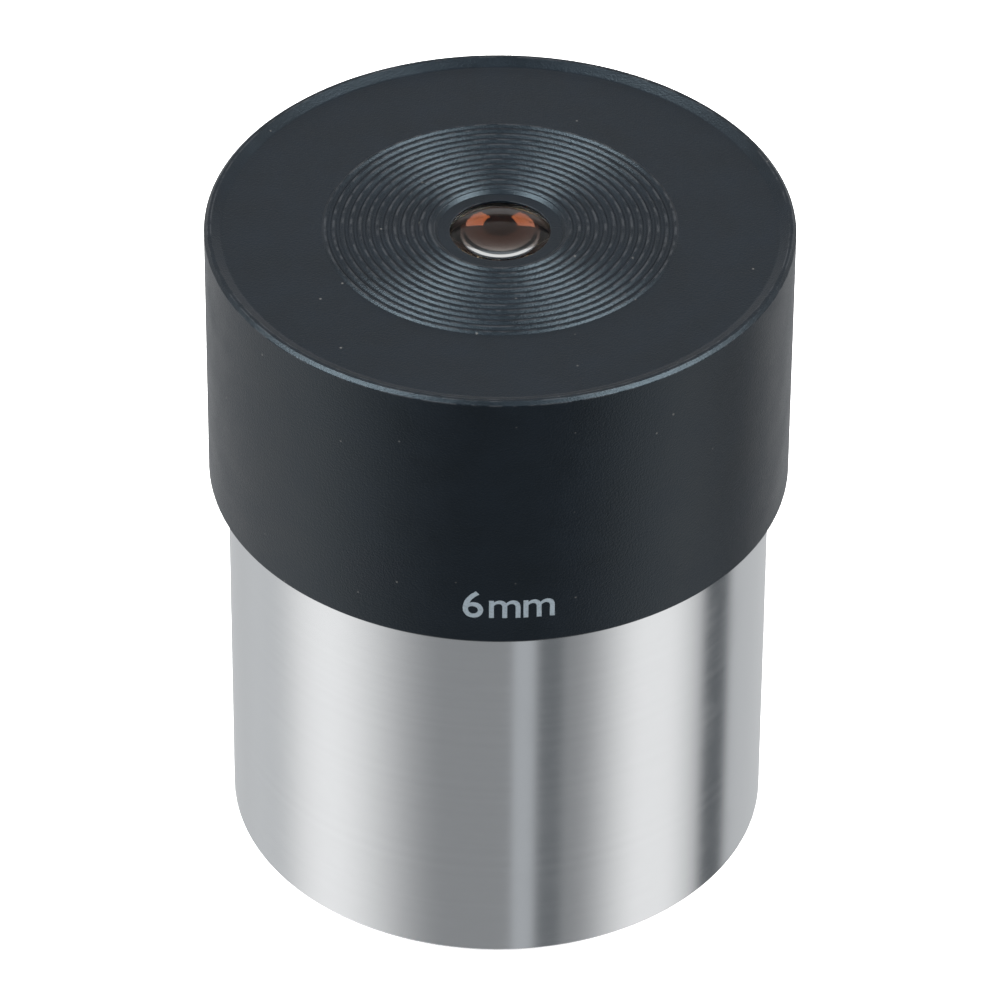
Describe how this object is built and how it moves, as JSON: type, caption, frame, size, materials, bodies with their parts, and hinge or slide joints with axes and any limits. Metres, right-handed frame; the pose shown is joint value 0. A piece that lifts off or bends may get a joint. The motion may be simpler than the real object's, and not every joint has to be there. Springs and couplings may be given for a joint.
{
  "type": "telescope eyepiece",
  "caption": "Short orthoscopic telescope eyepiece: a black head with fine ridges round a small eye lens, screwed onto a plain bright 1.25 inch push-fit barrel.",
  "frame": {"origin": "centre of the barrel's open end, on the surface that the eyepiece stands on", "axes": "+Z along the optical axis towards the eye, -Y towards the side of the head that carries the focal length mark"},
  "size_m": [0.034, 0.034, 0.0417],
  "materials": {
    "black_anodised_head": "satin black anodised, fine turned",
    "bright_barrel": "satin chrome over fine turning",
    "black_cell": "matte black anodised",
    "blackened_brass": "chemically blackened, matte",
    "coated_glass": "polished, with an amber-reflecting coating"
  },
  "bodies": {
    "barrel": {"barrel": "bright_barrel"},
    "lens_group": {"lens_cell": "black_cell", "lens_spacer": "blackened_brass", "lens_retainer": "blackened_brass", "field_stop_holder": "black_cell", "field_stop": "blackened_brass", "eye_lens": "coated_glass", "triplet_eye_element": "coated_glass", "triplet_flint_element": "coated_glass", "triplet_field_element": "coated_glass"},
    "head": {"head_shell": "black_anodised_head", "cell_lock_ring": "blackened_brass"}
  },
  "joints": [
    {"name": "lens_rise", "type": "slide", "parent": "barrel", "child": "lens_group", "axis": [0, 0, 1], "range_m": [0, 0.005]},
    {"name": "head_turn", "type": "hinge", "parent": "lens_group", "child": "head", "pos_m": [0, 0, 0.02495], "axis": [0, 0, 1], "range_deg": [0, 2400]}
  ],
  "couplings": [
    {"joint": "lens_rise", "follows": "head_turn", "m_per_rad": 0.00011937}
  ]
}
